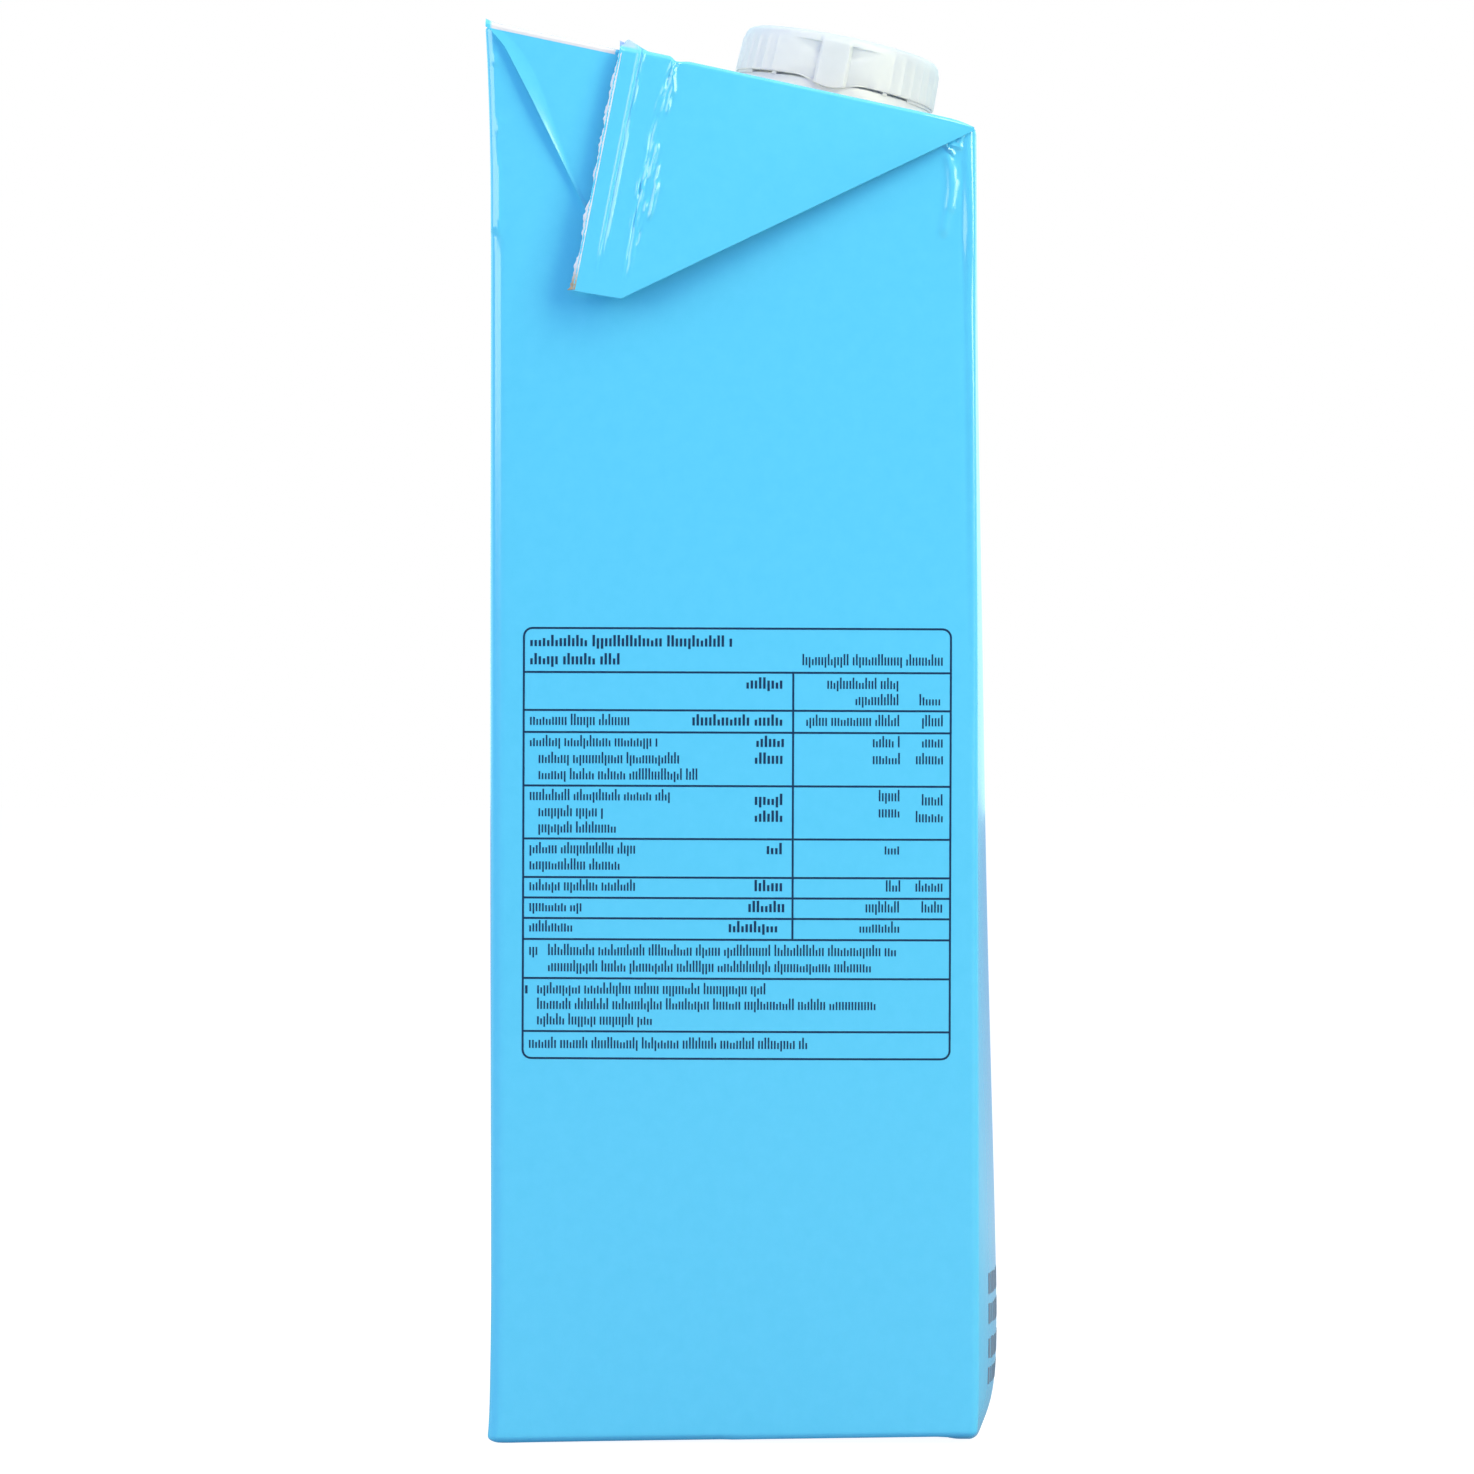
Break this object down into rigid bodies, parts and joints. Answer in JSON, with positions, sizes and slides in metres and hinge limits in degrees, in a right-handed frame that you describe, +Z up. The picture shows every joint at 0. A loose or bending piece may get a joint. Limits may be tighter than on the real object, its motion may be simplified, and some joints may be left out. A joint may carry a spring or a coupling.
{
  "type": "milk carton",
  "caption": "Upright board carton for a litre of milk, with a sloped top, folded-down side ears, a sealed fin and a screw cap.",
  "frame": {"origin": "middle of the base, on the surface that the carton stands on", "axes": "+Z up; +X towards the low pouring front with the cap; -Y out of the side panel with the printed table"},
  "size_m": [0.0783, 0.0774, 0.2145],
  "materials": {
    "board": "satin laminate",
    "cap_plastic": "satin",
    "print": "satin ink"
  },
  "bodies": {
    "root": {"carton": "board", "cap": "cap_plastic", "ring": "cap_plastic"}
  },
  "joints": []
}
